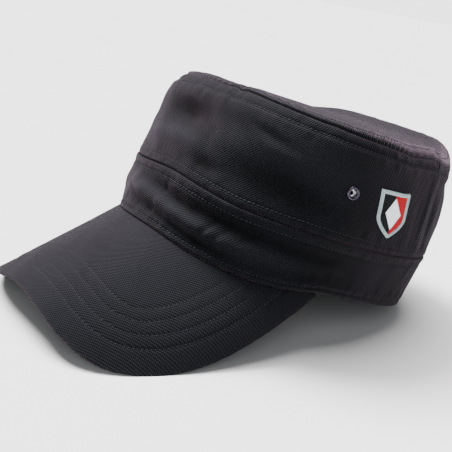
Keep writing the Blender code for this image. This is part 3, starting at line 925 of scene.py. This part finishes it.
def eyelet(name, side, surface):
    """A pressed metal eyelet: a rolled rim on the cloth that turns in to a dished throat."""
    point, across, up, out = wall_frame(side * EYELET_ANGLE, EYELET_LEVEL)
    outer, throat, roll, seat = EYELET_RADIUS, EYELET_THROAT_RADIUS, EYELET_ROLL_RADIUS, EYELET_SEAT
    profile = [(outer, -0.0001), (outer + 0.0001, seat)]
    for i in range(1, 12):
        turn = math.pi * i / 12.0
        profile.append((outer - 0.0007 + roll * math.cos(turn), seat + roll * math.sin(turn)))
    lip = outer - 0.0013
    for i in range(1, 11):
        share = i / 10.0
        profile.append((lip - (lip - throat) * share, seat - EYELET_DISH * share))
    profile += [(throat + 0.0001, -0.0018), (throat + 0.0004, -0.0018), (outer - 0.0012, -0.0003)]
    steps = 48
    verts = []
    for radius, height in profile:
        for i in range(steps):
            turn = 2.0 * math.pi * i / steps
            verts.append(point + across * radius * math.cos(turn) + up * radius * math.sin(turn) + out * height)
    verts = set_down(np.array([tuple(v) for v in verts]))
    faces = [tuple(face) for face in grid_faces(len(profile), steps, True)]
    last = (len(profile) - 1) * steps
    for i in range(steps):
        j = (i + 1) % steps
        faces.append((last + i, last + j, j, i))
    # Rings down in the throat are marked for bright metal, a painted highlight in the hole, not worn lacquer
    throat_highlight = np.repeat([smooth(-height / 0.0008) for radius, height in profile], steps)
    return add_mesh(name, verts, faces, surface, wear_and_highlight=throat_highlight)


def shield_outline(width, height):
    """A shield: a level top, straight sides to its shoulders and two shallow arcs down to a point."""
    half = width / 2.0
    shoulder = -0.08 * height
    drop = height / 2.0 + shoulder
    right = [(half, height / 2.0), (half, shoulder / 2.0 + height / 4.0), (half, shoulder)]
    for i in range(1, 6):
        share = i / 6.0
        right.append((half * (1.0 - share**1.7), shoulder - drop * share))
    left = [(-x, y) for x, y in reversed(right)]
    return right + [(0.0, -height / 2.0)] + left + [(0.0, height / 2.0)]


def on_patch(flat, lift):
    """Level points for flat patch points, bent to the wall and lifted off it."""
    flat = np.asarray(flat, float)
    flat = flat - np.array([0.0, PATCH_SLANT]) * flat[..., :1]
    here = wall_point(PATCH_ANGLE, PATCH_LEVEL)
    arc = np.linalg.norm(wall_point(PATCH_ANGLE + 4.0, PATCH_LEVEL) - here) / 4.0
    rise = np.linalg.norm(wall_point(PATCH_ANGLE, PATCH_LEVEL + 0.1) - here) / 0.1
    cosine, sine = math.cos(PATCH_TURN), math.sin(PATCH_TURN)
    angle = PATCH_ANGLE + (flat[..., 0] * cosine - flat[..., 1] * sine) / arc
    level = PATCH_LEVEL + (flat[..., 0] * sine + flat[..., 1] * cosine) / rise
    return plain_point(angle, level) + wall_normal(angle, level) * (fold_depth(angle, level) + lift)[..., None]


def crossings(loop, y):
    """Where a level line at y crosses a closed outline, from left to right."""
    found = []
    for (x0, y0), (x1, y1) in zip(loop, loop[1:] + loop[:1]):
        if (y0 > y) != (y1 > y):
            found.append(x0 + (x1 - x0) * (y - y0) / (y1 - y0))
    return sorted(found)


def fill_lines(loop, turn, pitch):
    """Parallel thread lines that fill an outline, at an angle to its level."""
    cosine, sine = math.cos(turn), math.sin(turn)
    turned = [(x * cosine + y * sine, y * cosine - x * sine) for x, y in loop]
    y = min(y for x, y in turned) + pitch / 2.0
    high = max(y for x, y in turned)
    lines = []
    while y < high:
        ends = crossings(turned, y)
        for left, right in zip(ends[::2], ends[1::2]):
            if right - left > pitch:
                across = np.linspace(left, right, max(3, int((right - left) / 0.0015)))
                lines.append([(x * cosine - y * sine, x * sine + y * cosine) for x in across])
        y += pitch
    return lines


def satin_pieces(inner, kit, threads):
    """Two fields and a lozenge of satin stitches, inside the patch's border."""
    end = PATCH_HEIGHT / 2.0 - PATCH_BORDER_WIDTH
    left = [(-FIELD_SEAM, end)] + [(-x, y) for x, y in inner if x > 0.0001] + [(-FIELD_SEAM, -end)]
    right = [(-x, y) for x, y in left]
    lozenge = [
        (0.0, LOZENGE_RISE + LOZENGE_HALF_HEIGHT),
        (LOZENGE_HALF_WIDTH, LOZENGE_RISE),
        (0.0, LOZENGE_RISE - LOZENGE_HALF_HEIGHT),
        (-LOZENGE_HALF_WIDTH, LOZENGE_RISE),
    ]
    pieces = []
    for name, loop, turn, lift in (
        ("patch_dark_field", left, 0.35, FIELD_LIFT),
        ("patch_red_field", right, -0.35, FIELD_LIFT),
        ("patch_light_lozenge", lozenge, 1.57, LOZENGE_LIFT),
    ):
        lines = []
        for line in fill_lines(loop, turn, SATIN_PITCH):
            arch = SATIN_ARCH * np.sin(math.pi * np.linspace(0.0, 1.0, len(line)))
            lines.append(on_patch(line, lift + arch))
        pieces.append(sew(name, lines, kit, threads[name], radius=SATIN_RADIUS))
    return pieces


def patch_threads(kit, threads):
    """Embroidered shield: a wrapped border round its satin stitches."""
    outer = shield_outline(PATCH_WIDTH, PATCH_HEIGHT)
    rim = 2.0 * PATCH_BORDER_WIDTH
    inner = shield_outline(PATCH_WIDTH - rim, PATCH_HEIGHT - rim)
    pieces = satin_pieces(inner, kit, threads)
    corners = np.array(outer + outer[:1])
    inside = np.array(inner + inner[:1])
    lengths = np.linalg.norm(np.diff(corners, axis=0), axis=1)
    places = np.concatenate([[0.0], np.cumsum(lengths)])
    count = int(places[-1] / WRAP_PITCH)
    share = np.linspace(0.0, 1.0, 7)[:, None]
    lift = WRAP_LIFT + WRAP_ARCH * np.sin(math.pi * share[:, 0]) ** 0.7
    lines = []
    for i in range(count):
        at = places[-1] * i / count
        start, end = (
            np.array([np.interp(at, places, edge[:, axis]) for axis in (0, 1)]) for edge in (corners, inside)
        )
        lines.append(on_patch(start * (1.0 - share) + end * share, lift))
    pieces.append(sew("patch_border_wrap", lines, kit, threads["patch_border_wrap"], radius=WRAP_RADIUS))
    return pieces


def patch_backing(surface):
    """The twill ground under the patch's threads."""
    outer = np.array(shield_outline(PATCH_WIDTH - GROUND_INSET, PATCH_HEIGHT - GROUND_INSET))
    rings = [outer * share for share in (1.0, 0.8, 0.6, 0.4, 0.2)]
    flat = np.vstack(rings + [np.zeros((1, 2))])
    faces = [face[::-1] for face in disc_faces(len(rings), len(outer))]
    made = add_mesh("patch_ground", set_down(on_patch(flat, GROUND_LIFT)), faces, surface, flat)
    return thicken(made, GROUND_THICKNESS, offset=1.0)


class Nodes:
    """Short calls for building one material's nodes."""

    def __init__(self, name):
        self.made = bpy.data.materials.new(name)
        self.made.use_nodes = True
        self.tree = self.made.node_tree
        self.shader = self.tree.nodes["Principled BSDF"]
        self.place = self.tree.nodes.new("ShaderNodeTexCoord")

    def link(self, source, target):
        self.tree.links.new(source, target)

    def put(self, socket, value):
        if hasattr(value, "is_output"):
            self.link(value, socket)
        else:
            socket.default_value = value

    def attribute(self, name):
        node = self.tree.nodes.new("ShaderNodeAttribute")
        node.attribute_name = name
        return node.outputs["Fac"]

    def math(self, operation, a, b=0.0, clamp=False):
        node = self.tree.nodes.new("ShaderNodeMath")
        node.operation = operation
        node.use_clamp = clamp
        self.put(node.inputs[0], a)
        self.put(node.inputs[1], b)
        return node.outputs[0]

    def noise(self, scale, detail=3.0, where="Object", roughness=0.5, stretch=None):
        node = self.tree.nodes.new("ShaderNodeTexNoise")
        node.inputs["Scale"].default_value = scale
        node.inputs["Detail"].default_value = detail
        node.inputs["Roughness"].default_value = roughness
        source = self.place.outputs[where]
        if stretch:
            mapping = self.tree.nodes.new("ShaderNodeMapping")
            mapping.inputs["Scale"].default_value = stretch
            self.link(source, mapping.inputs["Vector"])
            source = mapping.outputs["Vector"]
        self.link(source, node.inputs["Vector"])
        return node.outputs["Fac"]

    def ramp(self, value, low, high, start=0.0, end=1.0):
        node = self.tree.nodes.new("ShaderNodeMapRange")
        self.put(node.inputs["Value"], value)
        for label, number in (("From Min", low), ("From Max", high), ("To Min", start), ("To Max", end)):
            node.inputs[label].default_value = number
        return node.outputs["Result"]

    def mix(self, share, first, second):
        node = self.tree.nodes.new("ShaderNodeMix")
        node.data_type = "RGBA"
        self.put(node.inputs["Factor"], share)
        self.put(node.inputs[6], first)
        self.put(node.inputs[7], second)
        return node.outputs[2]

    def bump(self, height, distance, strength=1.0, under=None):
        node = self.tree.nodes.new("ShaderNodeBump")
        node.inputs["Distance"].default_value = distance
        node.inputs["Strength"].default_value = strength
        self.link(height, node.inputs["Height"])
        if under is not None:
            self.link(under, node.inputs["Normal"])
        return node.outputs["Normal"]

    def set(self, **values):
        for label, value in values.items():
            self.shader.inputs[label.replace("_", " ")].default_value = value


# Colours of the washed canvas, and how far apart its threads are
CLOTH_DARK = (0.0009, 0.0011, 0.0015, 1.0)
CLOTH_LIGHT = (0.0066, 0.0074, 0.0090, 1.0)
CLOTH_WORN = (0.0120, 0.0108, 0.0126, 1.0)
CLOTH_BLOOM = (0.95, 0.67, 0.86, 1.0)
WEAVE_PITCH = 0.00158
PEAK_WEAVE_PITCH = 0.00128


def canvas(name, turn, lift, pitch, sheen):
    """Washed cotton canvas: a plain weave with uneven threads and lighter, worn edges, with painted light on its
    fold ridges and painted shade in its fold hollows.
    """
    made = Nodes(name)
    mapping = made.tree.nodes.new("ShaderNodeMapping")
    mapping.inputs["Rotation"].default_value = (0.0, 0.0, turn)
    made.link(made.place.outputs["UV"], mapping.inputs["Vector"])
    split = made.tree.nodes.new("ShaderNodeSeparateXYZ")
    made.link(mapping.outputs["Vector"], split.inputs["Vector"])
    waver = made.noise(26.0, 2.0, "UV")
    beat = 2.0 * math.pi / pitch
    across = made.math("ADD", made.math("MULTIPLY", split.outputs["X"], beat), made.math("MULTIPLY", waver, 3.0))
    up = made.math("ADD", made.math("MULTIPLY", split.outputs["Y"], beat), made.math("MULTIPLY", waver, -2.5))
    weave = made.math("MULTIPLY", made.math("SINE", across), made.math("SINE", up))
    crest = made.ramp(weave, -0.7, 1.0)
    slub = made.noise(900.0, 2.0, "UV", 0.6, (1.0, 0.25, 1.0))
    fade = made.noise(14.0, 4.0, "Object", 0.55)
    shade = made.math("ADD", made.math("MULTIPLY", crest, 0.60), made.math("MULTIPLY", slub, 0.30))
    shade = made.math("ADD", shade, made.ramp(fade, 0.3, 0.7, -0.12, 0.12))
    # Painted fold shade: hollows darken towards the darkest tone and ridges lighten, from the fold depth
    shade = made.math("ADD", shade, made.math("MULTIPLY", made.attribute("painted_fold_shade"), 0.40), clamp=True)
    dark, light = ([channel * lift for channel in colour[:3]] + [1.0] for colour in (CLOTH_DARK, CLOTH_LIGHT))
    colour = made.mix(shade, dark, light)
    patches = made.ramp(made.noise(180.0, 3.0), 0.40, 0.72, 0.0, 0.40)
    colour = made.mix(made.math("MULTIPLY", made.attribute("wear_and_highlight"), patches), colour, CLOTH_WORN)
    made.link(colour, made.shader.inputs["Base Color"])
    body = made.bump(made.noise(260.0, 3.0), 0.00010, 0.5)
    made.link(made.bump(weave, 0.00026, 0.9, body), made.shader.inputs["Normal"])
    made.link(made.ramp(slub, 0.2, 0.8, 0.78, 0.95), made.shader.inputs["Roughness"])
    made.set(Sheen_Weight=sheen, Sheen_Roughness=0.30, Specular_IOR_Level=0.05, Sheen_Tint=CLOTH_BLOOM)
    return made.made


def thread_dye(name, colour, lighter, roughness=0.55, sheen=0.3, shine=0.12):
    """Spun thread, with a fine twist and slight changes of shade."""
    made = Nodes(name)
    tone = made.mix(made.noise(700.0, 2.0), (*colour, 1.0), (*lighter, 1.0))
    rough = made.ramp(made.noise(900.0), 0.3, 0.7, roughness - 0.08, roughness + 0.1)
    made.link(tone, made.shader.inputs["Base Color"])
    made.link(made.bump(made.noise(2600.0, 2.0), 0.00008, 0.6), made.shader.inputs["Normal"])
    made.link(rough, made.shader.inputs["Roughness"])
    made.set(Sheen_Weight=sheen, Sheen_Roughness=0.4, Specular_IOR_Level=shine)
    return made.made


def eyelet_metal(name):
    """Dark lacquered brass, scuffed a little brighter in places, turning to bright bare metal down the throat as a
    painted highlight.
    """
    made = Nodes(name)
    rub = made.ramp(made.noise(900.0, 3.0), 0.4, 0.75)
    lacquer = made.mix(rub, (0.034, 0.029, 0.042, 1.0), (0.070, 0.060, 0.080, 1.0))
    # Painted highlight: the marked throat turns to bright bare metal so the hole shows a bright highlight
    bright = (0.66, 0.66, 0.68, 1.0)
    made.link(made.mix(made.attribute("wear_and_highlight"), lacquer, bright), made.shader.inputs["Base Color"])
    made.link(made.ramp(made.noise(1500.0), 0.3, 0.7, 0.22, 0.38), made.shader.inputs["Roughness"])
    made.link(made.bump(made.noise(1800.0), 0.00003, 0.4), made.shader.inputs["Normal"])
    made.set(Metallic=1.0)
    return made.made


def pale_ground(name):
    made = Nodes(name)
    grain = made.ramp(made.noise(3.0, 4.0), 0.3, 0.7)
    made.link(made.mix(grain, (0.42, 0.42, 0.42, 1.0), (0.44, 0.44, 0.44, 1.0)), made.shader.inputs["Base Color"])
    made.set(Roughness=0.9, Specular_IOR_Level=0.1)
    return made.made


FLOOR_REACH = 40.0


def add_floor():
    """A plain pale floor that runs past the camera's view."""
    corners = [(x * FLOOR_REACH, y * FLOOR_REACH, 0.0) for x, y in ((-1, -1), (1, -1), (1, 1), (-1, 1))]
    mesh = bpy.data.meshes.new("floor")
    mesh.from_pydata(corners, [], [(0, 1, 2, 3)])
    mesh.materials.append(pale_ground("pale_floor"))
    show("floor", mesh)


CAMERA = {"azimuth": 45.65, "elevation": 10.77, "roll": 19.29, "distance": 0.4385, "lens": 55.87}
CAMERA_AIM = (0.0, -0.030, 0.035)
CAMERA_SLIDE = (-0.0133, -0.0169)


def add_camera():
    """The photograph's view, given on the level cap and leaned back with it."""
    around, above, roll = (math.radians(CAMERA[key]) for key in ("azimuth", "elevation", "roll"))
    flat = math.cos(above)
    back = Vector((math.sin(around) * flat, -math.cos(around) * flat, math.sin(above)))
    right = Vector((math.cos(around), math.sin(around), 0.0))
    up = back.cross(right)
    level_right = right * math.cos(roll) + up * math.sin(roll)
    level_up = up * math.cos(roll) - right * math.sin(roll)
    target = Vector(CAMERA_AIM) + level_right * CAMERA_SLIDE[0] + level_up * CAMERA_SLIDE[1]
    eye = target + back * CAMERA["distance"]
    ends = [eye, eye + level_right, eye + level_up, eye + back]
    placed = [Vector(p) for p in set_down(np.array([tuple(p) for p in ends]))]
    axes = [(p - placed[0]).normalized() for p in placed[1:]]
    lens = bpy.data.cameras.new("camera")
    lens.lens = CAMERA["lens"]
    lens.sensor_width = 36.0
    camera = show("camera", lens)
    camera.matrix_world = Matrix.Translation(placed[0]) @ Matrix(axes).transposed().to_4x4()
    bpy.context.scene.camera = camera


# Studio lamps: where their light comes from, how wide they look in degrees, and their strength
LIGHTS = table(
    "name place width strength colour",
    ("key", (-0.62, -0.10, 0.95), 24.0, 16.5, (1.0, 0.98, 1.0)),
    ("fill", (0.72, -0.62, 0.50), 60.0, 1.9, (0.96, 0.98, 1.0)),
    ("overhead", (-0.30, 0.10, 1.0), 44.0, 11.0, (1.0, 0.98, 1.0)),
)
HORIZON_STRENGTH = 3.1
SKY_STRENGTH = 0.14
SKY_START = 0.036
SKY_END = 0.055
SKY_COLOUR = (0.97, 0.98, 1.0, 1.0)


def add_light():
    """Three soft lamps, and a studio that is bright at the horizon and dim above it."""
    for row in LIGHTS:
        sun = bpy.data.lights.new(row["name"], "SUN")
        sun.angle = math.radians(row["width"])
        sun.energy = row["strength"]
        sun.color = row["colour"]
        place = Vector(row["place"])
        turn = (-place).to_track_quat("-Z", "Y").to_matrix().to_4x4()
        show(row["name"], sun).matrix_world = Matrix.Translation(place) @ turn
    world = bpy.data.worlds.new("studio")
    world.use_nodes = True
    nodes = world.node_tree.nodes
    sky = nodes["Background"]
    sky.inputs["Color"].default_value = SKY_COLOUR
    place = nodes.new("ShaderNodeTexCoord")
    split = nodes.new("ShaderNodeSeparateXYZ")
    ramp = nodes.new("ShaderNodeMapRange")
    limits = (("From Min", SKY_START), ("From Max", SKY_END), ("To Min", HORIZON_STRENGTH), ("To Max", SKY_STRENGTH))
    for label, value in limits:
        ramp.inputs[label].default_value = value
    wire(
        world.node_tree,
        (place, "Generated", split, "Vector"),
        (split, "Z", ramp, "Value"),
        (ramp, "Result", sky, "Strength"),
    )
    bpy.context.scene.world = world


def dress_cap():
    """The cloths, the peak and the eyelets, in place of the solids."""
    cloths = {}
    # The top panel and the peak take a lighter base colour than the walls and more sheen, the top most: painted
    # light for the stronger light on their upward faces
    for name, turn, lift, pitch, sheen in (
        ("band", 0.0, 1.15, WEAVE_PITCH, 0.075),
        ("crown_wall", 0.0, 1.15, WEAVE_PITCH, 0.075),
        ("back_panel", 0.0, 1.15, WEAVE_PITCH, 0.075),
        ("top_panel", 0.6, 1.2, WEAVE_PITCH, 0.20),
        ("peak", 0.0, 1.2, PEAK_WEAVE_PITCH, 0.11),
    ):
        cloths[name] = canvas(name + "_canvas", turn, lift, pitch, sheen)
    gap = math.degrees(SEAM_GAP / 2.0 / HEAD_HALF_WIDTH)
    ring = np.arange(0.0, 360.0, RING_STEP)
    front = np.linspace(-REAR_SEAM_ANGLE + gap, REAR_SEAM_ANGLE - gap, FRONT_COLUMNS)
    rear = np.linspace(REAR_SEAM_ANGLE + gap, 360.0 - REAR_SEAM_ANGLE - gap, REAR_COLUMNS)
    holes = [(wall_point(side * EYELET_ANGLE, EYELET_LEVEL), EYELET_OPENING) for side in (1.0, -1.0)]
    made = {}
    for name, base, angles, closed, relief, tuck, thickness, openings in (
        ("crown_wall", 1.0, front, False, crown_relief, CROWN_TUCK, CROWN_THICKNESS, holes),
        ("back_panel", 1.0, rear, False, crown_relief, CROWN_TUCK, CROWN_THICKNESS, ()),
        ("band", 0.0, ring, True, band_relief, 0.0, BAND_THICKNESS, ()),
    ):
        made[name] = wall_cloth(
            name + "_cloth", base, angles, closed, relief, tuck, thickness, cloths[name], openings
        )
    made["top_panel"] = top_cloth(cloths["top_panel"])
    made["peak"] = peak_cloth(cloths["peak"])
    for name, side in (("eyelet_left", 1.0), ("eyelet_right", -1.0)):
        made[name] = eyelet(name + "_ring", side, eyelet_metal(name + "_lacquer"))
    for node, piece in made.items():
        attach(piece, "root")
        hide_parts(node)


def sew_cap():
    """The stitch rows of the walls, the top and the peak, the peak's in finer thread."""
    kit = thread_tree("stitch_row", True)
    sewing = thread_dye("sewing_thread", (0.008, 0.009, 0.0105), (0.016, 0.017, 0.020), 0.75, 0.03)
    plain = (STITCH_PITCH, STITCH_LENGTH, THREAD_RADIUS)
    fine = (PEAK_STITCH_PITCH, PEAK_STITCH_LENGTH, PEAK_THREAD_RADIUS)
    rows = stitch_rows()
    for name, node, sizes in (
        ("crown_stitches", "crown_wall", plain),
        ("band_stitches", "band", plain),
        ("top_stitches", "top_panel", plain),
        ("peak_stitches", "peak", fine),
    ):
        piece = sew(name, rows[name], kit, sewing, *sizes)
        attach(piece, "root")


def add_patch():
    """The shield patch: its ground, its satin fields and its wrapped border."""
    kit = thread_tree("laid_thread", False)
    threads = {}
    for piece, name, colour, lighter, sheen in (
        ("patch_dark_field", "dark_satin", (0.0008, 0.0014, 0.0018), (0.0024, 0.0034, 0.0040), 0.01),
        ("patch_red_field", "red_satin", (0.26, 0.0008, 0.0030), (0.36, 0.0024, 0.0060), 0.01),
        ("patch_light_lozenge", "white_satin", (0.62, 0.66, 0.70), (0.84, 0.86, 0.88), 0.05),
        ("patch_border_wrap", "silver_wrap", (0.17, 0.23, 0.23), (0.36, 0.43, 0.43), 0.03),
    ):
        threads[piece] = thread_dye(name, colour, lighter, 0.6, sheen)
    twill = thread_dye("patch_ground_twill", (0.10, 0.11, 0.12), (0.14, 0.15, 0.16), 0.8)
    for piece in [patch_backing(twill)] + patch_threads(kit, threads):
        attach(piece, "root")
        if piece.name == "patch_ground":
            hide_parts("patch_field")
        if piece.name == "patch_border_wrap":
            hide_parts("patch_border")


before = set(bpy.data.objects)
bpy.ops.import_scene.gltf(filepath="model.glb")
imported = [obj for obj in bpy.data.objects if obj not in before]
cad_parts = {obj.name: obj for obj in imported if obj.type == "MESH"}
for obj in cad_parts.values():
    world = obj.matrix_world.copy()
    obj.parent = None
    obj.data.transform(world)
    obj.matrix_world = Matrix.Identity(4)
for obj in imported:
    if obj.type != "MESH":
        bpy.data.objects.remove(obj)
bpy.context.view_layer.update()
dress_cap()
sew_cap()
add_patch()
add_floor()
add_camera()
add_light()
